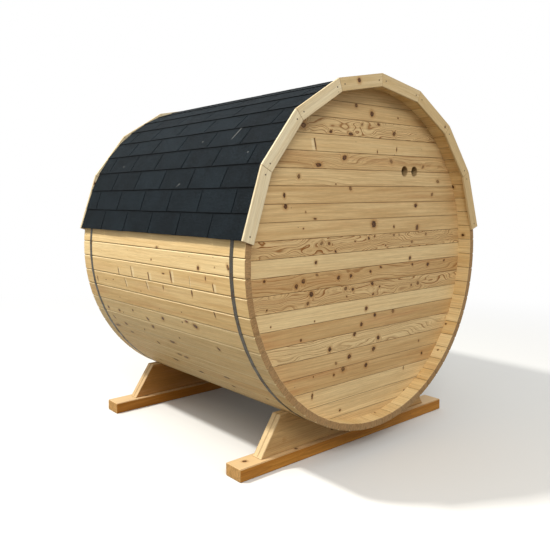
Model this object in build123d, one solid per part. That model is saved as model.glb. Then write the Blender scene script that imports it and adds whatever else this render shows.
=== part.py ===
from build123d import *
from math import ceil, cos, degrees, hypot, radians, sin, tan
import os

# Barrel sauna, lying along Y, in millimetres.
# Z = 0 is the ground; the origin is below the middle of the barrel.
# The blank end faces -Y and is called the rear. The door is at the +Y end, the front.
# Angles are measured in the barrel's cross-section, from +X (right) up over +Z (top).

# Barrel
barrel_radius = 1150.0        # axis to the middle of a stave's outer face
barrel_length = 2000.0
stave_count = 64
stave_thickness = 46.0
stave_joint = 0.6             # open joint between two staves
stave_bevel = 2.5             # broken edges along each stave

# End walls, held in a groove that is cut across the staves
wall_recess = 100.0           # stave end to the wall's outer face
wall_thickness = 45.0
groove_depth = 12.0
groove_clearance = 0.3
board_cover = 107.5           # visible height of one wall board
board_joint_offset = 27.0     # the board joint nearest the axis, above it
board_notch_width = 5.0
board_notch_depth = 2.5
vent_diameter = 70.0
vent_spacing = 114.0
vent_offset = 461.0           # middle of the pair, right of the axis
vent_joint = 5                # the vents sit on the fifth joint above the axis joint

# Steel hoops and their tighteners
hoop_width = 32.0
hoop_thickness = 1.0
rear_hoop_inset = 119.0
front_hoop_inset = 125.0
hoop_gap = 36.0
tightener_stave = -7          # stave under the tightener, counted down from the right
lug_foot = 28.0
lug_height = 34.0
lug_thickness = 4.0
tension_bolt_diameter = 8.0
tension_bolt_length = 92.0
tension_bolt_rise = 20.0      # hoop's face to the middle of the bolt
tension_nut_size = 13.0
tension_nut_height = 6.5

# Shingle roof
shingle_thickness = 3.5
course_exposure = 151.0       # most that a course shows; whole courses share the slope evenly
ridge_width = 300.0
eave_angle = 7.6              # lower edge of the eave course above the barrel's side
eave_stand_off = 17.0         # the stiff eave course leaves the staves by this much
roof_clearance = 0.2
tab_width = 337.0
slot_width = 9.0
first_slot = 320.0            # rear end to the first slot of the eave course
slot_end = 0.94               # share of the exposure that a slot runs up

# Fascia boards round both roof ends
fascia_rise = 33.0            # outer corners above the staves
fascia_width = 84.0
fascia_thickness = 16.0
fascia_turn = 20.4            # angle between two neighbouring boards
fascia_boards_per_side = 4
fascia_joint = 0.6
fascia_drop = 2.0             # the last board ends this far below the eave course

# Cradles and sleeper beams
beam_length = 2062.0
beam_width = 143.0
beam_height = 80.0
rear_beam_inset = 263.0       # rear stave end to the middle of the beam
front_beam_inset = 200.0
cradle_plank = 39.0           # a cradle is two planks side by side
cradle_joint = 0.5
cradle_seat = 78.0            # wood left under the barrel's lowest point
cradle_height = 243.0
cradle_foot = 1682.0
cradle_top = 1346.0
cradle_clearance = 0.2

# Door
door_width = 700.0
door_height = 1700.0
door_below_axis = 860.0       # lower edge of the leaf
door_gap = 3.0
leaf_thickness = 28.0
leaf_board = 100.0
leaf_notch_width = 5.0
leaf_notch_depth = 2.5
ledge_height = 95.0
ledge_thickness = 28.0
ledge_margin = 25.0
ledge_inset = 150.0           # leaf's top or bottom edge to the middle of the outer ledges
frame_width = 60.0
frame_stand_out = 15.0        # the frame stands out from the wall
hinge_inset = 200.0
strap_length = 420.0
strap_root = 50.0
strap_tip = 24.0
strap_thickness = 3.0
flap_width = 42.0
knuckle_diameter = 14.0
handle_length = 320.0
handle_diameter = 32.0
handle_post_diameter = 24.0
handle_post_spacing = 220.0
handle_reach = 58.0           # leaf to the middle of the bar
handle_from_edge = 70.0
handle_above_axis = 60.0

# Worked-out sizes
half_length = barrel_length / 2
half_turn = 180.0 / stave_count
slope = tan(radians(half_turn))
inner_radius = barrel_radius - stave_thickness
arris = barrel_radius * slope - stave_joint / 2 - stave_bevel
bearing_radius = hypot(barrel_radius, arris)
axis_height = beam_height + cradle_seat + bearing_radius + cradle_clearance
wall_radius = inner_radius + groove_depth - groove_clearance
rear_face = -half_length + wall_recess
front_face = half_length - wall_recess
hoop_corner = (barrel_radius + hoop_thickness) / cos(radians(half_turn))
ridge_angle = 90 - degrees(ridge_width / 2 / barrel_radius)
courses_per_side = ceil(radians(ridge_angle - eave_angle) * barrel_radius / course_exposure)
course_angle = (ridge_angle - eave_angle) / courses_per_side
roof_radius = hoop_corner / cos(radians(course_angle / 2)) + roof_clearance
fascia_radius = barrel_radius + fascia_rise
fascia_end_angle = eave_angle - degrees(fascia_drop / barrel_radius)


def at_axis(shape):
    return Pos(0, 0, axis_height) * shape


def polar(angle, radius):
    return (radius * cos(radians(angle)), radius * sin(radians(angle)))


def prism(points, start, end):
    """Extrude an outline in the cross-section from y = start to y = end."""
    face = Plane.XZ * Polygon(*points, align=None)
    return Pos(0, start, 0) * extrude(face, amount=end - start, dir=(0, 1, 0))


def block(low, high):
    size = [b - a for a, b in zip(low, high)]
    middle = [(a + b) / 2 for a, b in zip(low, high)]
    return Pos(*middle) * Box(*size)


def turned(shape, angle):
    """Turn a piece that was built at the top of the barrel to its angle round it."""
    return Rot(0, 90 - angle, 0) * shape


def mirror_right(shapes):
    return [mirror(shape, about=Plane.YZ) for shape in shapes]


def save(name, shapes):
    solids = [solid for shape in shapes for solid in at_axis(shape).solids()]
    export_step(Compound(children=solids), f"parts/{name}.step")


# Staves: flat faces, broken edges and two cross grooves that hold the end walls
def make_stave():
    def side(z):
        return z * slope - stave_joint / 2

    half = [
        (arris, barrel_radius),
        (side(barrel_radius - stave_bevel), barrel_radius - stave_bevel),
        (side(inner_radius + stave_bevel), inner_radius + stave_bevel),
        (side(inner_radius) - stave_bevel, inner_radius),
    ]
    outline = half + [(-x, z) for x, z in reversed(half)]
    stave = prism(outline, -half_length, half_length)
    reach = side(barrel_radius)
    floor = inner_radius + groove_depth
    for outer_face, way in ((rear_face, 1), (front_face, -1)):
        ends = sorted((outer_face - way * groove_clearance, outer_face + way * (wall_thickness + groove_clearance)))
        stave -= block((-reach, ends[0], inner_radius - 1), (reach, ends[1], floor))
    return stave


def make_staves():
    sectors = {
        "right_staves": 0, "top_staves": 90, "left_staves": 180, "bottom_staves": 270,
        "upper_right_staves": 45, "upper_left_staves": 135, "lower_left_staves": 225, "lower_right_staves": 315,
    }
    groups = {name: [] for name in sectors}
    stave = make_stave()
    for index in range(stave_count):
        angle = index * 360 / stave_count
        for name, middle in sectors.items():
            if abs((angle - middle + 180) % 360 - 180) <= 22.5:
                groups[name].append(turned(stave, angle))
                break
    for name, staves in groups.items():
        save(name, staves)


# End walls: horizontal boards with a V-notch at each joint, in a round panel
def board_joints():
    count = int(wall_radius / board_cover) + 1
    return [board_joint_offset + step * board_cover for step in range(-count, count + 1)]


def wall_slab(outer, inner, low, high, left=-barrel_radius, right=barrel_radius):
    """Boards between two heights; outer and inner are the y of the wall's faces."""
    notch = board_notch_width / 2
    floor = outer + (board_notch_depth if inner > outer else -board_notch_depth)
    outline = [(inner, low)]
    for z in board_joints():
        if low + notch < z < high - notch:
            outline += [(outer, z - notch), (floor, z), (outer, z + notch)]
        elif abs(z - low) < notch:
            outline += [(floor, low), (outer, low + notch)]
        elif abs(z - high) < notch:
            outline += [(outer, high - notch), (floor, high)]
    if outline[1][1] > low + notch:
        outline.insert(1, (outer, low))
    if outline[-1][1] < high - notch / 2:
        outline.append((outer, high))
    outline.append((inner, high))
    face = Plane.YZ * Polygon(*outline, align=None)
    slab = Pos(left, 0, 0) * extrude(face, amount=right - left, dir=(1, 0, 0))
    disc = Pos(0, (outer + inner) / 2, 0) * Rot(90, 0, 0) * Cylinder(wall_radius, wall_thickness)
    return slab & disc


def make_rear_wall():
    inner = rear_face + wall_thickness
    vent_height = board_joint_offset + vent_joint * board_cover
    low = vent_height - board_cover
    high = vent_height + board_cover
    save("rear_wall_lower_boards", [wall_slab(rear_face, inner, -wall_radius, low)])
    vented = wall_slab(rear_face, inner, low, high)
    for side in (-1, 1):
        x = vent_offset + side * vent_spacing / 2
        y = rear_face + wall_thickness / 2
        vented -= Pos(x, y, vent_height) * Rot(90, 0, 0) * Cylinder(vent_diameter / 2, wall_thickness * 2)
    save("rear_wall_vent_boards", [vented])
    save("rear_wall_upper_boards", [wall_slab(rear_face, inner, high, wall_radius)])


def make_front_wall():
    inner = front_face - wall_thickness
    half = door_width / 2 + door_gap + frame_width
    low = -door_below_axis - door_gap - frame_width
    high = -door_below_axis + door_height + door_gap + frame_width
    side = (front_face, inner, -wall_radius, wall_radius)
    save("front_wall_left_boards", [wall_slab(*side, right=-half)])
    save("front_wall_right_boards", [wall_slab(*side, left=half)])
    save("front_wall_lower_boards", [wall_slab(front_face, inner, -wall_radius, low, -half, half)])
    save("front_wall_upper_boards", [wall_slab(front_face, inner, high, wall_radius, -half, half)])


# Door: a frame round the doorway, a boarded leaf on three ledges, strap hinges and a bar handle
def make_door():
    inner = front_face - wall_thickness
    outer = front_face + frame_stand_out
    half = door_width / 2
    opening = half + door_gap
    bottom = -door_below_axis
    top = bottom + door_height
    jamb = block((opening, inner, bottom - door_gap), (opening + frame_width, outer, top + door_gap))
    save("door_jambs", [jamb, mirror(jamb, about=Plane.YZ)])
    reach = opening + frame_width
    save("door_head", [block((-reach, inner, top + door_gap), (reach, outer, top + door_gap + frame_width))])
    sill = block((-reach, inner, bottom - door_gap - frame_width), (reach, outer, bottom - door_gap))
    save("door_sill", [sill])

    leaf = block((-half, outer - leaf_thickness, bottom), (half, outer, top))
    joints = int(door_width / leaf_board)
    for index in range(1, joints):
        x = -half + index * door_width / joints
        notch = Polygon(
            (x - leaf_notch_width / 2, outer), (x, outer - leaf_notch_depth), (x + leaf_notch_width / 2, outer),
            align=None)
        leaf -= Pos(0, 0, bottom - 1) * extrude(notch, amount=door_height + 2)
    save("door_leaf", [leaf])

    ledges = []
    for z in (bottom + ledge_inset, (bottom + top) / 2, top - ledge_inset):
        ledges.append(block(
            (-half + ledge_margin, outer - leaf_thickness - ledge_thickness, z - ledge_height / 2),
            (half - ledge_margin, outer - leaf_thickness, z + ledge_height / 2)))
    save("door_ledges", ledges)

    pin = -half - door_gap / 2
    hinges = []
    for z in (bottom + hinge_inset, top - hinge_inset):
        strap = prism(
            [(pin, z - strap_root / 2), (pin + strap_length, z - strap_tip / 2),
             (pin + strap_length, z + strap_tip / 2), (pin, z + strap_root / 2)],
            outer, outer + strap_thickness)
        flap = block(
            (pin - flap_width, outer, z - strap_root), (pin, outer + strap_thickness, z + strap_root))
        knuckle = Pos(pin, outer + knuckle_diameter / 2, z) * Cylinder(knuckle_diameter / 2, strap_root * 2)
        hinges.append(strap + flap + knuckle)
    save("door_hinges", hinges)

    x = half - handle_from_edge
    bar = Pos(x, outer + handle_reach, handle_above_axis) * Cylinder(handle_diameter / 2, handle_length)
    for side in (-1, 1):
        z = handle_above_axis + side * handle_post_spacing / 2
        bar += Pos(x, outer + handle_reach / 2, z) * Rot(90, 0, 0) * Cylinder(handle_post_diameter / 2, handle_reach)
    save("door_handle", [bar])


# Hoops: flat steel bands round the barrel, each drawn up by a bolt between two lugs
def make_hoop(name, middle):
    start = middle - hoop_width / 2
    outer = RegularPolygon(barrel_radius + hoop_thickness, stave_count, major_radius=False, rotation=half_turn)
    inner = RegularPolygon(barrel_radius, stave_count, major_radius=False, rotation=half_turn)
    band = Pos(0, start, 0) * extrude(Plane.XZ * (outer - inner), amount=hoop_width, dir=(0, 1, 0))
    gap = block(
        (-hoop_gap / 2, start - 1, inner_radius), (hoop_gap / 2, start + hoop_width + 1, barrel_radius + lug_height))
    save(name, [band - turned(gap, tightener_stave * 2 * half_turn)])


def make_tightener(middle):
    start = middle - hoop_width / 2
    end = middle + hoop_width / 2
    seat = barrel_radius + hoop_thickness
    bolt_height = seat + tension_bolt_rise
    rod = Plane.YZ * RegularPolygon(tension_bolt_diameter / 2, 12)
    piece = Pos(0, middle, bolt_height) * extrude(rod, amount=tension_bolt_length / 2, both=True)
    for side in (-1, 1):
        near = side * hoop_gap / 2
        face = near + side * lug_thickness
        far = near + side * lug_foot
        piece += block((min(near, face), start, seat), (max(near, face), end, seat + lug_height))
        piece += block((min(near, far), start, seat), (max(near, far), end, seat + lug_thickness))
        nut = Plane.YZ * RegularPolygon(tension_nut_size / 2, 6, major_radius=False)
        piece += Pos(face, middle, bolt_height) * extrude(nut, amount=tension_nut_height, dir=(side, 0, 0))
    return turned(piece, tightener_stave * 2 * half_turn)


# Fascia: straight boards, mitred into a half ring against the stave ends
def make_fascia(name, start, way):
    end = start + way * fascia_thickness
    apothem = fascia_radius * cos(radians(fascia_turn / 2))
    inner_corner = (apothem - fascia_width) / cos(radians(fascia_turn / 2))
    play = degrees(fascia_joint / 2 / fascia_radius)
    boards = []
    for index in range(fascia_boards_per_side):
        high = 90 - index * fascia_turn - play
        low = 90 - (index + 1) * fascia_turn + play
        points = [polar(high, inner_corner), polar(high, fascia_radius)]
        if index < fascia_boards_per_side - 1:
            points += [polar(low, fascia_radius), polar(low, inner_corner)]
        else:
            facing = 90 - (index + 0.5) * fascia_turn
            x, z = polar(fascia_end_angle, apothem / cos(radians(facing - fascia_end_angle)))
            inward = polar(facing, fascia_width)
            points += [(x, z), (x - inward[0], z - inward[1])]
        boards.append(prism(points, min(start, end), max(start, end)))
    save(f"{name}_right_fascia", boards)
    save(f"{name}_left_fascia", mirror_right(boards))


# Roof: lapped courses of slotted shingles over the upper staves
def course_line(index):
    return eave_angle + index * course_angle


def inner_line(index):
    return roof_radius + (eave_stand_off if index == 0 else 0)


def make_course(index):
    low = course_line(index)
    high = course_line(index + 1)
    return prism(
        [polar(low, inner_line(index)), polar(low, inner_line(index) + 2 * shingle_thickness),
         polar(high, roof_radius + shingle_thickness), polar(high, roof_radius)],
        -half_length, half_length)


def make_slots(index):
    low = course_line(index) - 0.05
    high = course_line(index) + course_angle * slot_end
    depth = -2 * shingle_thickness if index == 0 else shingle_thickness / 2
    outline = [
        polar(low, inner_line(index) + depth), polar(low, inner_line(index) + 4 * shingle_thickness),
        polar(high, roof_radius + 4 * shingle_thickness), polar(high, roof_radius + depth)]
    offset = 0 if index % 2 == 0 else tab_width / 2
    place = first_slot - offset
    slots = []
    while place < barrel_length - slot_width:
        y = -half_length + place
        slots.append(prism(outline, y - slot_width / 2, y + slot_width / 2))
        place += tab_width
    return slots


def make_roof():
    for third, name in enumerate(("lower", "middle", "upper")):
        first = ceil(courses_per_side * third / 3)
        last = ceil(courses_per_side * (third + 1) / 3)
        courses = make_course(first)
        slots = make_slots(first)
        for index in range(first + 1, last):
            courses += make_course(index)
            slots += make_slots(index)
        courses -= slots
        save(f"{name}_right_shingles", [courses])
        save(f"{name}_left_shingles", mirror_right([courses]))
    edge = course_line(courses_per_side)
    cap = [
        polar(edge, roof_radius), polar(edge, roof_radius + 3 * shingle_thickness),
        polar(90, roof_radius + 3 * shingle_thickness), polar(180 - edge, roof_radius + 3 * shingle_thickness),
        polar(180 - edge, roof_radius), polar(90, roof_radius)]
    save("ridge_shingles", [prism(cap, -half_length, half_length)])


# Cradles: paired planks with sloping ends and an arc cut to the barrel, on sleeper beams
def make_cradle(name, middle):
    base = beam_height - axis_height
    top = base + cradle_height
    outline = [
        (-cradle_foot / 2, base), (cradle_foot / 2, base), (cradle_top / 2, top), (-cradle_top / 2, top)]
    planks = []
    for side in (-1, 1):
        near = middle + side * cradle_joint / 2
        far = middle + side * cradle_plank
        plank = prism(outline, min(near, far), max(near, far))
        seat = Pos(0, middle, 0) * Rot(90, 0, 0) * Cylinder(bearing_radius + cradle_clearance, cradle_plank * 3)
        planks.append(plank - seat)
    save(f"{name}_cradle", planks)
    save(f"{name}_beam", [block(
        (-beam_length / 2, middle - beam_width / 2, -axis_height),
        (beam_length / 2, middle + beam_width / 2, base))])


os.makedirs("parts", exist_ok=True)
make_staves()
make_rear_wall()
make_front_wall()
make_door()
make_hoop("rear_hoop", -half_length + rear_hoop_inset)
make_hoop("front_hoop", half_length - front_hoop_inset)
save("hoop_tighteners", [
    make_tightener(-half_length + rear_hoop_inset), make_tightener(half_length - front_hoop_inset)])
make_fascia("rear", -half_length, -1)
make_fascia("front", half_length, 1)
make_roof()
make_cradle("rear", -half_length + rear_beam_inset)
make_cradle("front", half_length - front_beam_inset)
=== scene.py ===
import random
from math import ceil, cos, degrees, hypot, pi, radians, sin, sqrt, tan
import bmesh
import bpy
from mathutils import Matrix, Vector


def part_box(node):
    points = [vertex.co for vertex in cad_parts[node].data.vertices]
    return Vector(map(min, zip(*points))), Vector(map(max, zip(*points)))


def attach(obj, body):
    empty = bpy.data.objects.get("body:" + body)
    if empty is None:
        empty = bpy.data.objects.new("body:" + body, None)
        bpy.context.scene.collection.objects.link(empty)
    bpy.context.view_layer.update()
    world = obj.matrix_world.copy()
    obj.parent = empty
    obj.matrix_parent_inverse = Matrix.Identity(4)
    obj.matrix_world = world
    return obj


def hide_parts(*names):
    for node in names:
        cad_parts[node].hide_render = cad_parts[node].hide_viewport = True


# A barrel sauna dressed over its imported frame, in metres.
# The blank rear end faces -Y and the door faces +Y. Angles go from +X (right) up over the top.
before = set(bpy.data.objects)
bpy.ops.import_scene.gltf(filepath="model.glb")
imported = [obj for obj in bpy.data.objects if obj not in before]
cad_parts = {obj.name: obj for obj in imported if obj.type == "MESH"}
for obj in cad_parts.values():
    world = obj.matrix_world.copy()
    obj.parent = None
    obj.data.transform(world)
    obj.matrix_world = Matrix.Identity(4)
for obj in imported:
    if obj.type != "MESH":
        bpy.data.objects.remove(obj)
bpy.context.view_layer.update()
chance = random.Random(64)
print("frame loaded")


# Small helpers for material nodes. New nodes go into the finish that is being mixed

mixing = {}


def feed(node, sockets):
    for name, value in sockets.items():
        if isinstance(value, bpy.types.NodeSocket):
            mixing["tree"].links.new(value, node.inputs[name])
        else:
            node.inputs[name].default_value = value


def put(kind, feeds=None, out=0, **settings):
    node = mixing["tree"].nodes.new("ShaderNode" + kind)
    for key, value in settings.items():
        setattr(node, key, value)
    feed(node, feeds or {})
    return node.outputs[out]


def calc(operation, first, second=0.0):
    return put("Math", {0: first, 1: second}, operation=operation)


def times(first, *others):
    for other in others:
        first = calc("MULTIPLY", first, other)
    return first


def plus(first, *others):
    for other in others:
        first = calc("ADD", first, other)
    return first


def calcVector(operation, first, second):
    return put("VectorMath", {0: first, 1: second}, operation=operation)


def scaled(vector, factor):
    return put("VectorMath", {0: vector, 3: factor}, operation="SCALE")


def lengthOf(vector):
    return put("VectorMath", {0: vector}, out=1, operation="LENGTH")


def fade(value, fromLow, fromHigh, toLow, toHigh):
    feeds = {0: value, 1: fromLow, 2: fromHigh, 3: toLow, 4: toHigh}
    return put("MapRange", feeds, interpolation_type="SMOOTHSTEP")


def mixColour(share, first, second):
    return put("Mix", {0: share, 6: first, 7: second}, out=2, data_type="RGBA")


def cloud(vector, stretch, detail=2.0, roughness=0.5):
    spread = calcVector("MULTIPLY", vector, stretch)
    return put("TexNoise", {"Vector": spread, "Scale": 1.0, "Detail": detail, "Roughness": roughness})


def attribute(label, out="Fac"):
    return put("Attribute", out=out, attribute_name=label)


def bump(height, strength, distance):
    return put("Bump", {"Height": height, "Strength": strength, "Distance": distance}, out="Normal")


def paint(red, green, blue):
    def straight(value):
        share = value / 255
        return share / 12.92 if share <= 0.04045 else ((share + 0.055) / 1.055) ** 2.4
    return (straight(red), straight(green), straight(blue), 1.0)


def painted(look):
    # Colours are written as red, green and blue up to 255
    return {name: paint(*value) if isinstance(value, tuple) else value for name, value in look.items()}


def newFinish(name):
    finish = bpy.data.materials.new(name)
    finish.use_nodes = True
    tree = finish.node_tree
    tree.nodes.clear()
    mixing["tree"] = tree
    surface = tree.nodes.new("ShaderNodeBsdfPrincipled")
    output = tree.nodes.new("ShaderNodeOutputMaterial")
    tree.links.new(surface.outputs[0], output.inputs["Surface"])
    return finish, surface


# Spruce: growth rings round each board's own pith, so the faces show long grain and the ends show rings

def woodFinish(name, look):
    finish, surface = newFinish(name)
    tone, cut, edge, figure = (attribute(label) for label in ("tone", "cut", "edge", "figure"))
    grain = attribute("grain", "Vector")
    ragged = cloud(grain, (60, 110, 110), 3.0, 0.6)
    knotDistance, flare, resin, bent = 9.0, 0.0, 0.0, grain
    for label in ("knotOne", "knotTwo", "knotThree"):
        knot = attribute(label, "Vector")
        distance = lengthOf(knot)
        pushed = scaled(knot, fade(distance, 0.0, 3.4, look["knotPush"], 0.0))
        bent = calcVector("SUBTRACT", bent, calcVector("MULTIPLY", pushed, (0, 1, 0)))
        knotDistance = calc("MINIMUM", knotDistance, distance)
        along, across, spike = put("SeparateXYZ", {0: knot}).node.outputs
        band = times(fade(along, -9.0, -5.0, 0, 1), fade(along, -2.0, -0.8, 1, 0),
                     fade(calc("ABSOLUTE", across), 0.9, 1.5, 1, 0))
        flare = calc("MAXIMUM", flare, times(band, fade(spike, -0.3, -0.2, 1, 0)))
        resin = calc("MAXIMUM", resin, fade(spike, 0.4, 0.5, 0, fade(distance, 1.2, 1.6, 1, 0)))
    wobble = times(calc("SUBTRACT", ragged, 0.5), fade(knotDistance, 2.0, 3.4, 1.5, 0))
    knotDistance = plus(knotDistance, wobble)

    # where the rings lie: wavy in a flat-sawn board, straight in a quarter-sawn one
    waves = times(cloud(bent, (1.9, 11, 11), 0.0), fade(figure, 0, 1, 0.08, 1.0))
    loops = times(cloud(bent, (6.5, 16, 16), 0.0), fade(figure, 0.5, 1, 0, look["loops"]))
    ripple = times(cloud(grain, (9, 45, 45)), look["wander"] * 0.05)
    bulge = fade(knotDistance, 0.5, 3.4, look["knotBulge"], 0.0)
    fromPith = lengthOf(calcVector("MULTIPLY", bent, (0, 1, 1)))
    drift = times(plus(waves, loops), look["wander"])
    years = times(plus(fromPith, drift, ripple, bulge), look["ringsPerMetre"])
    weather = put("TexNoise", {"W": times(years, 0.41), "Scale": 1.0, "Detail": 1.0}, noise_dimensions="1D")
    years = plus(years, times(weather, 1.6))

    def lateWood(count):
        ring = calc("FRACT", times(years, count))
        return times(fade(ring, 0.60, 0.88, 0, 1), fade(ring, 0.94, 1.0, 1, 0))

    bold = times(lateWood(1.0), fade(figure, 0, 1, 0.10, 1.0), fade(weather, 0.3, 0.6, 0.45, 1.0))
    fine = times(lateWood(3.0), fade(figure, 0, 0.6, look["fineRings"] * 0.5, look["fineRings"]))
    late = calc("MAXIMUM", bold, fine)
    broad = cloud(calcVector("ADD", bent, (0, 0, 3)), (1.3, 26, 26), 3.0, 0.6)
    bands = cloud(calcVector("ADD", grain, (0, 9, 0)), (2.2, 95, 95), 3.0, 0.6)
    patches = cloud(calcVector("ADD", bent, (0, 5, 0)), (1.7, 20, 20), 2.0)
    fibres = cloud(grain, (14, 560, 560), 2.0, 0.6)

    # colour of the bare wood, from board to board and within each one
    warmth = plus(times(tone, look["toneSpread"]), times(broad, 0.9), times(bands, 0.35))
    colour = mixColour(fade(warmth, 0.45, 1.45, 0, 1), look["pale"], look["warm"])
    rosy = times(fade(patches, 0.48, 0.74, 0, 0.6), fade(tone, 0.3, 0.8, 0.1, 1))
    colour = mixColour(rosy, colour, look["heart"])
    colour = mixColour(times(flare, 0.55), colour, look["flare"])
    colour = mixColour(times(late, look["ringStrength"]), colour, look["late"])
    streak = times(fade(fibres, 0.28, 0.75, 0.88, 1.07), fade(bands, 0.3, 0.7, 1.05, 0.92))
    colour = scaled(colour, streak)
    # painted light: what faces up is mixed towards the pale flare colour, as if lit from above
    top = put("SeparateXYZ", {0: put("NewGeometry", out="Normal")}, out=2)
    colour = mixColour(fade(top, 0.15, 0.8, 0, look["bleach"]), colour, look["flare"])
    sawn = fade(cloud(grain, (30, 160, 40), 4.0, 0.75), 0.3, 0.7, 0.5, 1.3)
    colour = mixColour(times(cut, look["endDark"]), colour, scaled(look["endGrain"][:3], sawn))

    # knots: a brown heart with its own rings, a dark rim and a warm halo, and pin knots between them
    plain = calc("SUBTRACT", 1.0, times(flare, 0.5))
    shown = times(fade(cloud(grain, (6, 6, 6), 0.0), 0.30, 0.52, look["knotFaint"], 1.0), plain)
    colour = mixColour(times(fade(knotDistance, 0.8, 3.0, 0.65, 0), shown), colour, look["halo"])
    heart = fade(knotDistance, 0.75, 1.15, 1, 0)
    swirl = calc("SINE", times(knotDistance, 13.0))
    knotShade = plus(fade(swirl, -1, 1, 0, 0.35), fade(ragged, 0.4, 0.6, 0, 0.55))
    knotPaint = mixColour(resin, mixColour(knotShade, look["knot"], look["knotRim"]), look["resin"])
    colour = mixColour(times(heart, shown), colour, knotPaint)
    rim = times(fade(knotDistance, 0.5, 0.9, 0, 1), fade(knotDistance, 0.95, 1.4, 1, 0), shown)
    colour = mixColour(times(rim, 0.9), colour, look["knotRim"])
    pins = {"Vector": calcVector("MULTIPLY", grain, (9, 12, 12)), "Scale": 1.0}
    pins = fade(put("TexVoronoi", pins, out="Distance"), look["pinSize"] * 0.4, look["pinSize"], 0.8, 0)
    colour = mixColour(times(pins, calc("SUBTRACT", 1.0, cut)), colour, look["knotRim"])

    # edges: a painted highlight on a corner that faces up, painted shade on the one that faces down, and dark
    # with dirt in a joint
    colour = mixColour(fade(edge, -1, 0, look["paintedArrisHighlight"], 0), colour, look["flare"])
    colour = mixColour(times(calc("MAXIMUM", edge, 0.0), look["seamDark"]), colour, look["seam"])
    height = calc("SUBTRACT", plus(times(late, 0.5), times(fibres, 0.8)), times(rim, 0.9))
    rough = plus(fade(fibres, 0.2, 0.8, look["sheen"] + 0.08, look["sheen"] - 0.06), times(cut, 0.2))
    feed(surface, {
        "Base Color": colour, "Roughness": calc("SUBTRACT", rough, times(heart, 0.1)),
        "Normal": bump(height, look["relief"], 0.0006), "Specular IOR Level": look["gloss"]})
    return finish


def spruce(**changes):
    look = {
        "pale": (240, 214, 160), "warm": (212, 174, 114), "late": (146, 98, 46), "heart": (200, 150, 98),
        # flare, the pale wood beside a spike knot, is also drawn as painted highlight on what faces up and on
        # upward corners; seam, the dirt in a joint, is also drawn as painted shade on downward corners and in
        # the vent holes
        "flare": (250, 230, 184), "seam": (78, 52, 22), "endGrain": (158, 120, 80),
        "knot": (122, 76, 32), "knotRim": (46, 25, 8), "halo": (170, 116, 56), "resin": (184, 84, 46),
        "ringsPerMetre": 62, "ringStrength": 0.75, "fineRings": 0.3, "wander": 0.17, "loops": 0.6,
        "toneSpread": 0.8, "knotPush": 0.008, "knotBulge": 0.045, "knotFaint": 0.6, "pinSize": 0.045,
        "seamDark": 0.95, "paintedArrisHighlight": 0.75, "endDark": 0.85, "relief": 0.45, "sheen": 0.58, "gloss": 0.25,
        "bleach": 0.0,             # painted light: how far what faces up is drawn paler, as if lit from above
    }
    look.update(changes)
    return painted(look)


woods = {
    "stave_wood": spruce(pale=(244, 218, 164), warm=(220, 182, 120), ringStrength=0.55, wander=0.1),
    "wall_wood": spruce(
        pale=(240, 213, 160), warm=(202, 163, 108), late=(138, 82, 22), ringStrength=0.95),
    "fascia_wood": spruce(
        pale=(238, 224, 190), warm=(214, 186, 136), late=(172, 134, 82), heart=(208, 176, 122),
        ringStrength=0.45, toneSpread=1.1),
    "cradle_wood": spruce(
        pale=(206, 170, 116), warm=(174, 122, 60), late=(118, 74, 30), bleach=0.6, toneSpread=1.1),
    "beam_wood": spruce(
        pale=(220, 160, 74), warm=(172, 108, 32), late=(120, 64, 14), heart=(192, 128, 56),
        endGrain=(214, 172, 112), endDark=0.7, seamDark=0.5, bleach=0.5),
    "door_wood": spruce(pale=(236, 208, 154), warm=(210, 168, 108)),
    "handle_wood": spruce(
        pale=(228, 196, 140), warm=(206, 164, 106), ringsPerMetre=300, pinSize=0.0001, sheen=0.42, gloss=0.4),
}
finishes = {slot: woodFinish(slot.replace("_wood", "Wood"), look) for slot, look in woods.items()}


# Roof and steel finishes read the object's own coordinates

shingleLook = painted({
    "dark": (11, 16, 19), "blue": (22, 30, 35), "pale": (58, 68, 76), "buttShadow": (3, 4, 5),
    "scuff": (168, 170, 166),
    "tabSpread": 0.35,         # how much one tab differs from the next
    "granulesPerMetre": 620, "roughness": 0.92,
    # Scratches and specks in the granules: both ends and how far they reach
    "scuffs": [
        ((-0.880, -0.558, 2.061), (-0.815, -0.577, 2.131), 0.004),
        ((-1.062, -0.211, 1.770), (-1.053, -0.234, 1.789), 0.005),
        ((-0.877, -0.247, 2.064), (-0.875, -0.248, 2.066), 0.005),
        ((-0.973, 0.647, 1.935), (-0.971, 0.648, 1.937), 0.006),
        ((-0.955, -0.799, 1.963), (-0.953, -0.800, 1.965), 0.004)],
})


def scuffAt(spot, start, end, reach):
    way = Vector(end) - Vector(start)
    offset = calcVector("SUBTRACT", spot, start)
    along = put("VectorMath", {0: offset, 1: way / way.length_squared}, out=1, operation="DOT_PRODUCT")
    nearest = scaled(way, put("Clamp", {0: along}))
    return fade(lengthOf(calcVector("SUBTRACT", offset, nearest)), reach * 0.3, reach, 1, 0)


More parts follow.
